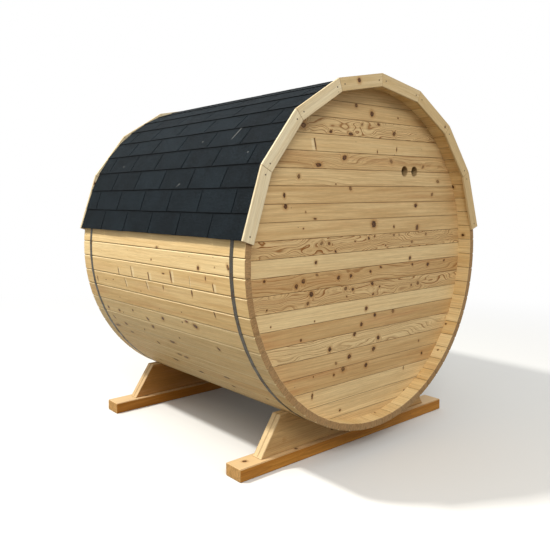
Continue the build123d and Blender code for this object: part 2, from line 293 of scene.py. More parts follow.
def shingleFinish(look):
    finish, surface = newFinish("shingleGranules")
    spot = put("TexCoord", out="Object")
    pebbles = {"Vector": spot, "Scale": look["granulesPerMetre"]}
    distance = put("TexVoronoi", pebbles, out="Distance")
    shade = put("SeparateColor", {0: put("TexVoronoi", pebbles, out="Color")})
    patches = cloud(spot, (7, 7, 7), 3.0)
    warmth = plus(times(attribute("tone"), look["tabSpread"]), patches)
    colour = mixColour(fade(warmth, 0.3, 1.1, 0, 1), look["dark"], look["blue"])
    colour = mixColour(fade(shade, 0.80, 1.0, 0, 0.75), colour, look["pale"])
    colour = mixColour(fade(shade, 0.0, 0.3, 0.5, 0.0), colour, look["dark"])
    # painted shadow along each butt and below the butt of the course above
    colour = mixColour(times(attribute("edge"), 0.9), colour, look["buttShadow"])
    scuffed = 0.0
    for scuff in look["scuffs"]:
        scuffed = calc("MAXIMUM", scuffed, scuffAt(spot, *scuff))
    broken = fade(cloud(spot, (180, 180, 180), 2.0), 0.35, 0.6, 0.35, 0.9)
    colour = mixColour(times(scuffed, broken), colour, look["scuff"])
    height = plus(times(distance, -1.0), times(patches, 0.6))
    feed(surface, {
        "Base Color": colour, "Roughness": fade(shade, 0, 1, look["roughness"], look["roughness"] - 0.2),
        "Normal": bump(height, 0.7, 0.0012), "Specular IOR Level": 0.08})
    return finish


def steelFinish(name, **look):
    look = painted(look)
    finish, surface = newFinish(name)
    spot = put("TexCoord", out="Object")
    mottle = cloud(spot, (24, 24, 24), 5.0, 0.62)
    fine = cloud(spot, (260, 260, 260), 3.0, 0.6)
    rust = fade(plus(mottle, times(fine, 0.35)), look["rustFrom"], look["rustFrom"] + 0.2, 0, 1)
    colour = mixColour(fade(fine, 0.3, 0.7, 0, 1), look["dark"], look["bright"])
    colour = mixColour(times(rust, look["rustShare"]), colour, look["rust"])
    rough = fade(plus(mottle, rust), 0.3, 1.4, look["roughness"] - 0.08, look["roughness"] + 0.3)
    feed(surface, {
        "Base Color": colour, "Roughness": rough, "Metallic": look["metal"],
        "Normal": bump(plus(fine, mottle), 0.35, 0.0008)})
    return finish


finishes["shingle"] = shingleFinish(shingleLook)
finishes["hoop_steel"] = steelFinish(
    "hoopSteel", dark=(46, 43, 36), bright=(84, 78, 66), rust=(92, 66, 42), rustFrom=0.66, rustShare=0.6,
    roughness=0.5, metal=0.3)
finishes["hinge_steel"] = steelFinish(
    "hingeSteel", dark=(26, 26, 27), bright=(46, 46, 47), rust=(86, 54, 34), rustFrom=0.78, rustShare=0.5,
    roughness=0.5, metal=0.15)
finishes["nail_steel"] = steelFinish(
    "nailSteel", dark=(40, 32, 24), bright=(70, 58, 46), rust=(84, 54, 34), rustFrom=0.6, rustShare=0.6,
    roughness=0.6, metal=0.1)
print("finishes mixed")


# The bench: one mesh in the making, with what the finishes need to know at each point

def newBench():
    mesh = bmesh.new()
    kinds = mesh.verts.layers
    layers = {name: kinds.float_vector.new(name) for name in ("grain", "knotOne", "knotTwo", "knotThree")}
    layers.update({name: kinds.float.new(name) for name in ("tone", "cut", "edge", "figure")})
    return {"mesh": mesh, "layers": layers}


def addPoint(bench, place, grain=(0, 0, 0), tone=0.5, figure=0.3, cut=0.0, edge=0.0, knots=((0, 0, 9),) * 3):
    point = bench["mesh"].verts.new(place)
    layers = bench["layers"]
    point[layers["grain"]] = grain
    for name, knot in zip(("knotOne", "knotTwo", "knotThree"), knots):
        point[layers[name]] = knot
    for name, value in (("tone", tone), ("figure", figure), ("cut", cut), ("edge", edge)):
        point[layers[name]] = value
    return point


def joinRings(bench, rings):
    for first, second in zip(rings, rings[1:]):
        for spot in range(len(first)):
            after = (spot + 1) % len(first)
            bench["mesh"].faces.new((first[spot], first[after], second[after], second[spot]))


def finishPiece(bench, name, slot, *nodes, smooth=0.0):
    bmesh.ops.recalc_face_normals(bench["mesh"], faces=bench["mesh"].faces)
    mesh = bpy.data.meshes.new(name)
    bench["mesh"].to_mesh(mesh)
    bench["mesh"].free()
    if smooth:
        mesh.shade_smooth()
        mesh.set_sharp_from_angle(angle=radians(smooth))
    piece = bpy.data.objects.new(name, mesh)
    bpy.context.collection.objects.link(piece)
    mesh.materials.append(finishes[slot])
    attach(piece, "root")
    if slot == "nail_steel":
        slot = "hinge_steel"
    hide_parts(*nodes)
    return piece


# Planks: every board, stave and beam is cut by the same rules

plank = {
    "cell": 0.030,         # longest step along a board
    "edgeStrip": 0.006,    # strip beside each corner
    "knotReach": 0.045,    # how far a small knot bends the grain
    "wornEdge": 0.25,      # how dark a free corner gets
    "seamEdge": 0.85,      # how dark a corner gets in a closed joint
    "insideEase": 0.003,   # rounding of a corner that faces inwards
    "slender": 1.9,        # a knot more drawn out than this hardly turns
    "turns": (0.12, 0.7),  # how far a slender and a round knot may turn
    "figures": (0.05, 0.15, 0.3, 0.45, 0.8),     # from plain to flamed
    # The pith lies over a flamed board or beside a plain one, in board widths, and this deep in metres
    "pithOver": 0.2, "pithBeside": (0.7, 1.5), "pithDepth": (0.04, 0.085),
    "logDrift": 0.014,     # how far a log leans out of its board in each metre
    # Strewn knots: how near they come to an end and to an edge, least distance between two, and sizes
    "knotFromEnd": 0.04, "knotFromEdge": 0.014, "knotSpacing": 0.11,
    "knotSizes": (0.005, 0.007, 0.009, 0.012),
}


def asRule(value):
    return value if callable(value) else lambda u: value


def newLog(width, depth, tone=None, figure=None):
    # A flat-sawn board lies over the pith and is flamed, and a quarter-sawn one lies beside it and is plain
    tone = chance.random() if tone is None else tone
    figure = chance.choice(plank["figures"]) if figure is None else figure
    side = chance.choice((-1, 1))
    over = plank["pithOver"]
    beside = chance.uniform(-over, over) if figure > 0.5 else side * chance.uniform(*plank["pithBeside"])
    return {
        "start": chance.uniform(0, 40),
        "across": beside * width,
        "deep": chance.choice((-1, 1)) * chance.uniform(*plank["pithDepth"]) - depth / 2,
        "driftAcross": chance.uniform(-plank["logDrift"], plank["logDrift"]),
        "driftDeep": chance.uniform(-plank["logDrift"], plank["logDrift"]),
        "tone": tone,
        "figure": figure,
    }


def strewKnots(ends, low, high, perMetre):
    knots = []
    fromEnd, fromEdge = plank["knotFromEnd"], plank["knotFromEdge"]
    u = ends[0] + chance.uniform(fromEnd, 0.5)
    while u < ends[1] - fromEnd and high - low > 0.04:
        across = chance.choice(plank["knotSizes"])
        v = chance.uniform(low + fromEdge, high - fromEdge)
        knots.append((u, v, across * chance.uniform(1.0, 1.7), across))
        u += plank["knotSpacing"] + chance.expovariate(perMetre)
    return knots


def inMetres(knot):
    # The tables give a knot's place and reach in millimetres
    return [value / 1000 for value in knot[:4]] + list(knot[4:])


def knotReach(knot):
    return max(plank["knotReach"], 3.5 * knot[2])


def shareKnots(knots):
    channels = ([], [], [])
    for knot in sorted(knots):
        start = knot[0] - knotReach(knot)
        for channel in channels:
            if not channel or start > channel[-1][0] + knotReach(channel[-1]) + plank["cell"]:
                channel.append(knot)
                break
    return channels


def knotAt(channel, u, v):
    # A fifth value slants a spike knot, which is cut lengthwise with a pale flare beside it, or names resin.
    # The last of the three numbers tells the finish which kind it is
    for knot in channel:
        knotU, knotV, along, across, *slant = knot
        du, dv = u - knotU, v - knotV
        if max(abs(du), abs(dv)) < knotReach(knot):
            if slant == ["resin"]:
                return (du / along, dv / across, 0.6)
            if slant:
                return ((du + slant[0] * dv) / along, dv / across, -0.35)
            slender = max(along, across) > plank["slender"] * min(along, across)
            turn = sin(knotU * 7919 + knotV * 104729) * plank["turns"][0 if slender else 1]
            return ((du * cos(turn) + dv * sin(turn)) / along, (dv * cos(turn) - du * sin(turn)) / across, 0)
    return (0, 0, 9)


def sectionPoints(low, high, back, front, ease, cells, seam, litCorner):
    # Once round the plank, with how dark each point is. Corners are rounded and a seam is dark inside.
    # This picks the outer corner that faces up, which gets a painted highlight, while the other outer corner
    # gets painted shade: -1 the low one, 1 the high one
    soft = min(ease, (high - low) * 0.3, (front - back) * 0.3)
    inside = min(soft, plank["insideEase"]) if litCorner else soft
    strip = min(plank["edgeStrip"], (high - low) * 0.15, (front - back) * 0.15)
    width = high - low - 2 * (soft + strip)
    inner = [low + soft + strip + width * step / cells for step in range(cells + 1)]
    worn = plank["wornEdge"] * (1 - seam)
    side = worn + plank["seamEdge"] * seam

    def corner(acrossAt, throughAt, across, through, reach, paintedLight=0):
        # 1 gives a corner a painted highlight and -1 gives it painted shade; 0 leaves only wear and joint
        # dirt
        shades = {0: (worn, worn + 0.1 * seam, side), 1: (-0.5, -1, 0.3), -1: (0.1, 0.55, 1)}[paintedLight]
        return [(acrossAt + across * reach * (1 - a), throughAt + through * reach * (1 - b), shade)
                for (a, b), shade in zip(((0, 1), (0.32, 0.32), (1, 0)), shades)]

    frontHigh = corner(high, front, -1, -1, soft, litCorner)
    backHigh = corner(high, back, -1, 1, inside)
    backLow = corner(low, back, 1, 1, inside)
    frontLow = corner(low, front, 1, -1, soft, -litCorner)
    points = [(v, front, 0) for v in inner] + frontHigh
    points += [(high, front - soft - strip, seam), (high, back + soft + strip, seam)] + backHigh[::-1]
    points += [(v, back, 0) for v in reversed(inner)] + backLow
    points += [(low, back + soft + strip, seam), (low, front - soft - strip, seam)] + frontLow[::-1]
    return points


def addPlank(bench, place, ends, low, high, back, front=0.0, ease=0.0025, endEase=0.002, seam=0, litCorner=0,
             extra=(), knots=(), log=None):
    # u runs along the plank, v across it from low to high, and w through it from back to front
    lowAt, highAt, backAt, seamAt = asRule(low), asRule(high), asRule(back), asRule(seam)
    steps = max(2, ceil((ends[1] - ends[0]) / plank["cell"]))
    stations = [ends[0] + (ends[1] - ends[0]) * step / steps for step in range(steps + 1)]
    stations[0] = ends[0] + endEase
    stations[-1] = ends[1] - endEase
    stations += [u for u in extra if ends[0] + endEase < u < ends[1] - endEase]
    stations = sorted(set(round(u, 5) for u in stations))
    middle = (ends[0] + ends[1]) / 2
    width = max(highAt(u) - lowAt(u) for u in (stations[1], middle, stations[-2]))
    cells = max(2, ceil(width / plank["cell"]))
    log = log or newLog(width, front - backAt(middle))
    channels = shareKnots(knots)
    rings = []
    for number, u in enumerate([ends[0]] + stations + [ends[1]]):
        tip = number in (0, len(stations) + 1)
        bounds = (lowAt(u), highAt(u), backAt(u), front)
        if tip:
            inset = min(endEase, (bounds[1] - bounds[0]) * 0.2)
            bounds = (bounds[0] + inset, bounds[1] - inset, bounds[2] + inset, bounds[3] - inset)
        ring = []
        for v, w, edge in sectionPoints(*bounds, ease, cells, seamAt(u), litCorner):
            across = v - log["across"] - log["driftAcross"] * u
            grain = (u + log["start"], across, w - log["deep"] - log["driftDeep"] * u)
            found = [knotAt(channel, u, v) for channel in channels]
            point = addPoint(bench, place(u, v, w), grain, log["tone"], log["figure"], cut=float(tip),
                             edge=0 if tip else edge, knots=found)
            ring.append(point)
        rings.append(ring)
    joinRings(bench, rings)
    bench["mesh"].faces.new(rings[0])
    bench["mesh"].faces.new(list(reversed(rings[-1])))


def flatPlace(origin, along, across, outward):
    origin, along, across, outward = (Vector(value) for value in (origin, along, across, outward))

    def place(u, v, w):
        return origin + along * u + across * v + outward * w
    return place


# Barrel staves, each a little further in or out than the next

barrel = {
    "radius": 1.150,           # axis to the middle of a stave's outer face
    "count": 64,
    "thickness": 0.046,
    "joint": 0.0006,
    "edge": 0.0055,
    "grooveDepth": 0.012,
    "groovePlay": 0.0003,
    "settle": 0.0007,          # most that a stave sits in from the hoops
    "knotsPerMetre": 2.0,
    # Tone and figure of the staves on the left side
    "leftLooks": {
        30: (0.40, 0.30), 31: (0.40, 0.25), 32: (0.20, 0.30), 33: (0.50, 0.12), 34: (0.55, 0.12),
        35: (0.62, 0.08), 36: (0.30, 0.15), 37: (0.25, 0.25), 38: (0.40, 0.15), 39: (0.35, 0.10),
        40: (0.50, 0.20)},
    # Knots on the left side, in millimetres: stave, place along Y and across, how far they reach both ways,
    # and a spike knot's slant
    "leftKnots": [
        (31, -90, 46, 13, 6), (32, -20, 20, 6, 5), (32, -560, 31, 9, 10), (32, -725, 13, 4, 4),
        (32, -850, 4, 8, 15), (33, 450, 30, 4, 30, 0.15), (33, 260, 20, 5, 36, 0.15),
        (33, 30, 24, 5, 36, 0.15), (33, -250, 0, 6, 32, 0.12), (33, -460, 10, 1.2, 40, 0.05),
        (33, -160, -11, 11, 4), (33, -630, -24, 4, 10), (33, -700, 25, 4, 22, 0.15),
        (34, 370, -5, 3, 30, 0.2), (34, 70, -20, 3, 26, 0.2), (34, 820, 9, 5, 14), (34, 560, -10, 5, 3),
        (34, 680, 3, 5, 3), (34, -140, -28, 4, 12), (34, -470, -30, 5, 16), (34, 170, 34, 5, 3),
        (35, -670, -35, 4, 16), (35, -300, 10, 4, 3), (35, 520, 12, 4, 3), (36, 790, 24, 10, 9),
        (36, 615, 26, 12, 8), (36, 560, 34, 6, 4), (36, 386, -11, 7, 6), (36, 200, 31, 13, 7),
        (36, -25, -11, 12, 10), (36, -270, -26, 5, 4), (36, -326, -42, 14, 8, "resin"),
        (36, -415, -21, 17, 12), (37, 770, -1, 13, 8), (37, 614, 36, 14, 8), (37, 173, -22, 13, 10),
        (37, 340, 37, 7, 4), (37, -140, 11, 5, 4), (37, -580, 1, 12, 7), (38, 786, -29, 30, 10),
        (38, 600, 5, 20, 7), (38, 0, -36, 26, 10), (38, 240, 29, 11, 6), (39, 22, -20, 26, 9),
        (39, -50, -10, 22, 9), (40, 174, -28, 22, 8), (40, -80, 36, 20, 8), (40, -430, -33, 24, 8)],
}
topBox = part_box("top_staves")
axisHeight = topBox[1].z - barrel["radius"]
rearEnd = topBox[0].y
frontEnd = topBox[1].y
halfTurn = 180 / barrel["count"]
staveHalf = barrel["radius"] * tan(radians(halfTurn))
wallFaces = (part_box("rear_wall_lower_boards")[0].y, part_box("front_wall_left_boards")[1].y)
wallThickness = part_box("rear_wall_lower_boards")[1].y - wallFaces[0]


def polar(angle, radius, y=0.0):
    return Vector((radius * cos(radians(angle)), y, axisHeight + radius * sin(radians(angle))))


def outwardAt(angle, side=1):
    return Vector((side * cos(radians(angle)), 0, sin(radians(angle))))


def stavePlace(angle, settle):
    outward = outwardAt(angle)
    across = Vector((-outward.z, 0, outward.x))
    middle = Vector((0, 0, axisHeight))

    def place(u, v, w):
        reach = barrel["radius"] - settle + w
        return middle + outward * reach + across * (v * reach / barrel["radius"]) + Vector((0, u, 0))
    return place


def addStave(bench, index):
    half = staveHalf - barrel["joint"] / 2
    play = barrel["groovePlay"]
    grooves = [
        (wallFaces[0] - play, wallFaces[0] + wallThickness + play),
        (wallFaces[1] - wallThickness - play, wallFaces[1] + play)]

    def back(u):
        deep = any(start < u < end for start, end in grooves)
        return -barrel["thickness"] + (barrel["grooveDepth"] if deep else 0)

    steps = [u + side for pair in grooves for u in pair for side in (-0.0001, 0.0001)]
    knots = [inMetres(knot) for stave, *knot in barrel["leftKnots"] if stave == index]
    if not knots:
        knots = strewKnots((rearEnd, frontEnd), -half, half, barrel["knotsPerMetre"])
    other = (chance.uniform(0.1, 0.7), chance.choice((0.08, 0.15, 0.25, 0.4)))
    log = newLog(2 * half, barrel["thickness"], *barrel["leftLooks"].get(index, other))
    place = stavePlace(index * 2 * halfTurn, chance.uniform(0, barrel["settle"]))
    # the outer corner facing up gets a painted highlight and the one facing down painted shade
    litCorner = -1 if cos(radians(index * 2 * halfTurn)) < 0 else 1
    addPlank(bench, place, (rearEnd, frontEnd), -half, half, back, ease=barrel["edge"], seam=1, litCorner=litCorner,
             extra=steps, knots=knots, log=log)


sectors = {
    "right_staves": 0, "top_staves": 90, "left_staves": 180, "bottom_staves": 270,
    "upper_right_staves": 45, "upper_left_staves": 135, "lower_left_staves": 225, "lower_right_staves": 315,
}
staveGroups = {name: [] for name in sectors}
for index in range(barrel["count"]):
    for name, middle in sectors.items():
        if abs((index * 2 * halfTurn - middle + 180) % 360 - 180) <= 22.5:
            staveGroups[name].append(index)
            break
for name, staves in staveGroups.items():
    bench = newBench()
    for index in staves:
        addStave(bench, index)
    finishPiece(bench, name + "_timber", "stave_wood", name)
print("staves set round the barrel")


# End walls: tongued boards across the barrel, with corners broken into a V at each joint

wall = {
    "cover": 0.1075,           # height that one board shows
    "sliver": 0.04,            # a lower board than this is left on its neighbour
    "firstJoint": 0.027,       # the joint nearest the axis, above it
    "thickness": 0.045,
    "edge": 0.003,
    "endEase": 0.0008,
    "endPlay": 0.0015,
    "play": 0.0002,
    "ventRadius": 0.035,
    "ventMiddles": (0.404, 0.518),
    "ventJoint": 5,
    "frontKnotsPerMetre": 3.0,
    # Tone and figure of the rear boards, counted from the joint nearest the axis
    "rearLooks": {
        8: (0.45, 0.20), 7: (0.35, 1.00), 6: (0.35, 0.06), 5: (0.60, 0.60), 4: (0.35, 0.35), 3: (0.55, 0.12),
        2: (0.50, 0.10), 1: (0.50, 0.08), 0: (0.45, 1.00), -1: (0.15, 0.08), -2: (0.70, 0.60),
        -3: (0.50, 0.90), -4: (0.05, 0.05), -5: (0.75, 0.12), -6: (0.20, 0.70), -7: (0.55, 0.20),
        -8: (0.75, 0.25), -9: (0.20, 0.20), -10: (0.25, 0.25)},
    # Knots on the rear wall, in millimetres: x, height above the axis, and their reach along and across
    "rearKnots": [
        (-120, 982, 11, 11), (40, 939, 16, 14), (320, 930, 6, 5), (-600, 822, 17, 14), (-360, 798, 12, 8),
        (-170, 793, 17, 8), (-60, 862, 8, 7), (110, 884, 12, 7), (280, 821, 14, 11), (310, 714, 4, 11),
        (-500, 720, 4.5, 36, 0.25), (100, 690, 4, 8), (-230, 639, 17, 13), (-470, 588, 22, 10),
        (250, 631, 15, 11), (620, 600, 12, 8), (-640, 515, 10, 11), (810, 497, 14, 10), (-310, 468, 5, 4),
        (-170, 445, 14, 9), (740, 402, 12, 10), (-760, 401, 8, 12), (-750, 335, 13, 12), (540, 324, 14, 12),
        (-580, 298, 5, 7), (-500, 254, 11, 5), (-600, 198, 5, 4), (70, 203, 20, 20), (290, 179, 7, 8),
        (560, 163, 13, 16), (-440, 100, 13, 9), (-370, 96, 10, 9), (-120, 96, 6, 5), (20, 110, 10, 7),
        (80, 125, 8, 6), (290, 122, 11, 8), (350, 118, 7, 5), (200, 53, 5, 5), (500, 64, 10, 9),
        (670, 112, 9, 8), (-310, 37, 9, 6), (-490, -18, 9, 9), (480, -54, 10, 11), (-480, -96, 10, 7),
        (-280, -130, 13, 10), (-160, -129, 11, 10), (40, -116, 9, 7), (150, -93, 10, 6), (510, -102, 9, 7),
        (700, -114, 13, 10), (910, -100, 10, 6), (-920, -98, 8, 7), (-600, -125, 13, 13),
        (-660, -153, 11, 12), (-530, -213, 15, 14), (-560, -268, 12, 9), (-210, -208, 13, 9),
        (-140, -220, 10, 8), (60, -200, 12, 9), (140, -228, 7, 6), (500, -251, 8, 7), (580, -244, 13, 10),
        (-200, -262, 6, 4), (70, -274, 9, 6), (0, -364, 10, 12), (-900, -270, 6, 4), (-870, -374, 4, 4),
        (-500, -387, 4, 4), (-50, -466, 11, 11), (290, -414, 12, 12), (90, -420, 11, 10),
        (-620, -490, 7, 6), (-120, -520, 13, 9), (-360, -588, 12, 12), (130, -583, 12, 13),
        (80, -655, 15, 12), (-170, -667, 14, 12), (-230, -738, 15, 14), (-300, -690, 9, 7),
        (0, -754, 13, 12), (600, -676, 7, 7), (640, -775, 9, 9), (-320, -763, 8, 8), (-510, -740, 4, 4),
        (420, -848, 5, 10), (-520, -862, 6, 14), (-260, -1010, 7, 6), (430, -1015, 6, 6)],
}
wallRadius = barrel["radius"] - barrel["thickness"] + barrel["grooveDepth"] - barrel["groovePlay"]


def wallBoards():
    count = int(wallRadius / wall["cover"]) + 1
    joints = [wall["firstJoint"] + step * wall["cover"] for step in range(-count, count + 1)]
    rows = []
    for low, high in zip(joints, joints[1:]):
        low, high = max(low, -wallRadius), min(high, wallRadius)
        if high - low < wall["sliver"]:
            if rows and high > 0:
                rows[-1] = (rows[-1][0], high)
            continue
        rows.append((-wallRadius if low - wall["cover"] < -wallRadius and not rows else low, high))
    return rows


def discHalf(z):
    return sqrt(max(wallRadius ** 2 - z ** 2, 0))


def addBoard(bench, place, low, high, left, right, knots, log, vents=()):
    # A board in the round wall: its ends follow the groove in the staves
    nearest = 0 if low < 0 < high else min(abs(low), abs(high))
    tip = sqrt(wallRadius ** 2 - (nearest + wall["endPlay"]) ** 2)
    ends = (max(left, -tip), min(right, tip))
    ventHeight = wall["firstJoint"] + wall["ventJoint"] * wall["cover"]

    def biteAt(u):
        return max([sqrt(max(wall["ventRadius"] ** 2 - (u - middle) ** 2, 0)) for middle in vents] or [0])

    def lowAt(u):
        floor = max(low + wall["play"], -discHalf(u))
        return max(floor, ventHeight + biteAt(u)) if vents and low > ventHeight - 0.01 else floor

    def highAt(u):
        top = min(high - wall["play"], discHalf(u))
        top = min(top, ventHeight - biteAt(u)) if vents and high < ventHeight + 0.01 else top
        return max(top, lowAt(u) + 0.001)

    # painted shade: the walls of the vent holes are drawn half as dark as a joint
    def seamAt(u):
        return 0.5 if any(abs(u - middle) < wall["ventRadius"] + 0.0005 for middle in vents) else 1

    extra = [side * discHalf(low + (high - low) * step / 8) for side in (-1, 1) for step in range(9)]
    for middle in vents:
        extra += [middle + wall["ventRadius"] * cos(pi * step / 20) for step in range(21)]
    addPlank(bench, place, ends, lowAt, highAt, -wall["thickness"], ease=wall["edge"],
             endEase=wall["endEase"], seam=seamAt, extra=extra, knots=knots, log=log)


rows = wallBoards()
rearWallPlace = flatPlace((0, wallFaces[0], axisHeight), (1, 0, 0), (0, 0, 1), (0, -1, 0))
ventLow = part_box("rear_wall_vent_boards")[0].z - axisHeight
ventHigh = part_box("rear_wall_vent_boards")[1].z - axisHeight
rearBenches = {name: newBench() for name in ("lower", "vent", "upper")}
for low, high in rows:
    middle = (low + high) / 2
    name = "lower" if middle < ventLow else "vent" if middle < ventHigh else "upper"
    within = (low + plank["knotFromEdge"], high - plank["knotFromEdge"])
    knots = [
        (x, min(max(z, within[0]), within[1]), *more)
        for x, z, *more in map(inMetres, wall["rearKnots"]) if low < z < high]
    number = round((min(low + wall["cover"] / 2, high) - wall["firstJoint"]) // wall["cover"])
    log = newLog(wall["cover"], wall["thickness"], *wall["rearLooks"].get(number, (0.4, 0.3)))
    vents = wall["ventMiddles"] if name == "vent" else ()
    addBoard(rearBenches[name], rearWallPlace, low, high, -9, 9, knots, log, vents)

frontWallPlace = flatPlace((0, wallFaces[1], axisHeight), (1, 0, 0), (0, 0, 1), (0, 1, 0))
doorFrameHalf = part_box("front_wall_right_boards")[0].x
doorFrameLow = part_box("front_wall_lower_boards")[1].z - axisHeight
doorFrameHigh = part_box("front_wall_upper_boards")[0].z - axisHeight
frontBenches = {name: newBench() for name in ("left", "right", "lower", "upper")}
for low, high in rows:
    log = newLog(wall["cover"], wall["thickness"])
    knots = strewKnots((-discHalf(low), discHalf(low)), low, high, wall["frontKnotsPerMetre"])
    reach = discHalf(0 if low < 0 < high else min(abs(low), abs(high)))
    if reach > doorFrameHalf + 0.01:
        addBoard(frontBenches["left"], frontWallPlace, low, high, -9, -doorFrameHalf, knots, log)
        addBoard(frontBenches["right"], frontWallPlace, low, high, doorFrameHalf, 9, knots, log)
    within = (-doorFrameHalf, doorFrameHalf, knots, log)
    if low < doorFrameLow - 0.005:
        addBoard(frontBenches["lower"], frontWallPlace, low, min(high, doorFrameLow), *within)
    if high > doorFrameHigh + 0.005:
        addBoard(frontBenches["upper"], frontWallPlace, max(low, doorFrameHigh), high, *within)
for end, benches in (("rear", rearBenches), ("front", frontBenches)):
    for name, bench in benches.items():
        node = end + "_wall_" + name + "_boards"
        finishPiece(bench, node + "_timber", "wall_wood", node)
print("end walls boarded")


# Fascia: straight boards mitred round both roof ends

fascia = {
    "rise": 0.033, "width": 0.084, "thickness": 0.016, "turn": 20.4, "perSide": 4, "joint": 0.0006,
    "edge": 0.002, "endAngle": 7.6 - degrees(0.002 / barrel["radius"]),
    "nailFromMitre": 0.037, "nailRadius": 0.0048, "nailRise": 0.0012,
    "frontKnotsPerMetre": 1.2, "figures": (0.05, 0.15, 0.3),
    # Knots and tones of the rear boards, from the top down
    "rearKnots": {("left", 0): [(30, 30, 12, 12)], ("right", 1): [(170, 40, 7, 9)]},
    "rearTones": {"left": (0.6, 0.25, 0.1, 0.15), "right": (0.55, 0.8, 0.95, 0.9)},
}
fasciaApothem = (barrel["radius"] + fascia["rise"]) * cos(radians(fascia["turn"] / 2))


def fasciaPlace(side, facing, start, way, lowEnd):
    outward = outwardAt(facing, side)
    down = Vector((side * sin(radians(facing)), 0, -cos(radians(facing))))
    middle = Vector((0, start, axisHeight))
    fullHalf = fasciaApothem * tan(radians(fascia["turn"] / 2))

    def place(u, v, w):
        reach = fasciaApothem - v
        mitre = reach / fasciaApothem if u < 0 or lowEnd is None else 1.0
        return middle + outward * reach + down * (u * mitre) + Vector((0, way * w, 0))
    return place, fullHalf - fascia["joint"] / 2


def addDome(bench, middle, outward, radius, rise, sides=12):
    # A nail or bolt head: a low dome with a straight rim
    outward = Vector(outward).normalized()
    across = outward.orthogonal().normalized()
    up = outward.cross(across)
    rings = []
    spokes = [across * cos(2 * pi * step / sides) + up * sin(2 * pi * step / sides) for step in range(sides)]
    for share, height in ((1.0, -0.3), (1.0, 0.35), (0.86, 0.7), (0.5, 0.95)):
        rings.append([
            addPoint(bench, middle + spoke * radius * share + outward * rise * height) for spoke in spokes])
    joinRings(bench, rings)
    top = addPoint(bench, middle + outward * rise)
    for step in range(sides):
        bench["mesh"].faces.new((rings[-1][step], rings[-1][(step + 1) % sides], top))
    bench["mesh"].faces.new(list(reversed(rings[0])))


nailBench = newBench()
for endName, start, way in (("rear", rearEnd, -1), ("front", frontEnd, 1)):
    for sideName, side in (("left", -1), ("right", 1)):
        bench = newBench()
        for index in range(fascia["perSide"]):
            facing = 90 - (index + 0.5) * fascia["turn"]
            last = index == fascia["perSide"] - 1
            lowEnd = fasciaApothem * tan(radians(facing - fascia["endAngle"])) if last else None
            place, half = fasciaPlace(side, facing, start, way, lowEnd)
            ends = (-half, lowEnd if last else half)
            width, thickness = fascia["width"], fascia["thickness"]
            if endName == "rear":
                knots = [inMetres(knot) for knot in fascia["rearKnots"].get((sideName, index), [])]
                boardTone = fascia["rearTones"][sideName][index]
            else:
                knots = strewKnots(ends, 0, width, fascia["frontKnotsPerMetre"])
                boardTone = None
            log = newLog(width, thickness, boardTone, chance.choice(fascia["figures"]))
            addPlank(bench, place, ends, 0, width, 0.0002, thickness, ease=fascia["edge"], knots=knots,
                     log=log)
            for u in (ends[0] + fascia["nailFromMitre"], ends[1] - fascia["nailFromMitre"]):
                spot = place(u, width * 0.5, thickness)
                addDome(nailBench, spot, (0, way, 0), fascia["nailRadius"], fascia["nailRise"])
        node = endName + "_" + sideName + "_fascia"
        finishPiece(bench, node + "_timber", "fascia_wood", node)
finishPiece(nailBench, "fascia_nails", "nail_steel", smooth=50)
print("fascia nailed on")


# Roof: slotted strip shingles in lapped courses, and a ridge of bent caps

roof = {
    "thickness": 0.0035, "exposure": 0.151, "ridgeWidth": 0.300, "eaveAngle": 7.6, "eaveLift": 0.017,
    "clearance": 0.0002, "tab": 0.337, "slot": 0.009, "firstSlot": 0.320, "slotEnd": 0.94,
    "curl": 0.0012,            # most that a tab's lower corner lifts
    "stagger": 0.0022,         # most that a tab's lower edge is out of line
    "starterFrom": 0.11,       # the starter strip under the eave course sits back by this share
    "capLength": 0.1415,
}
ridgeAngle = 90 - degrees(roof["ridgeWidth"] / 2 / barrel["radius"])
courseCount = ceil(radians(ridgeAngle - roof["eaveAngle"]) * barrel["radius"] / roof["exposure"])
courseAngle = (ridgeAngle - roof["eaveAngle"]) / courseCount
roofRadius = (barrel["radius"] + 0.001) / cos(radians(halfTurn)) / cos(radians(courseAngle / 2))
roofRadius += roof["clearance"]


def slotMiddles(index):
    middles = []
    y = rearEnd + roof["firstSlot"] - (roof["tab"] / 2 if index % 2 else 0)
    while y < frontEnd - roof["slot"]:
        middles.append(y)
        y += roof["tab"]
    return middles


def coursePoint(side, index, share, height, y):
    lift = roof["eaveLift"] if index == 0 else 0
    low = roof["eaveAngle"] + index * courseAngle
    start = polar(low, roofRadius + lift)
    end = polar(low + courseAngle, roofRadius)
    outward = polar(low + courseAngle / 2, 1) - polar(0, 0)
    point = start.lerp(end, share) + outward * height
    return Vector((side * point.x, y, point.z))


def addSheet(bench, columns, rowsCount, here, keep, tones, edges):
    # A bent sheet on a grid of columns and rows, closed with an underside and rims
    mesh = bench["mesh"]
    skins = []
    for under in (0, 1):
        skins.append([[addPoint(bench, here(column, row, under), tone=tones[column], edge=edges[row])
                       for row in range(rowsCount)] for column in range(columns)])
    cells = {(column, row)
             for column in range(columns - 1) for row in range(rowsCount - 1) if keep(column, row)}
    for column, row in cells:
        corners = ((column, row), (column + 1, row), (column + 1, row + 1), (column, row + 1))
        mesh.faces.new([skins[0][c][r] for c, r in corners])
        mesh.faces.new([skins[1][c][r] for c, r in reversed(corners)])
        beside = ((column, row - 1), (column + 1, row), (column, row + 1), (column - 1, row))
        for number, other in enumerate(beside):
            if other not in cells:
                (c, r), (d, s) = corners[number], corners[(number + 1) % 4]
                mesh.faces.new((skins[0][c][r], skins[1][c][r], skins[1][d][s], skins[0][d][s]))


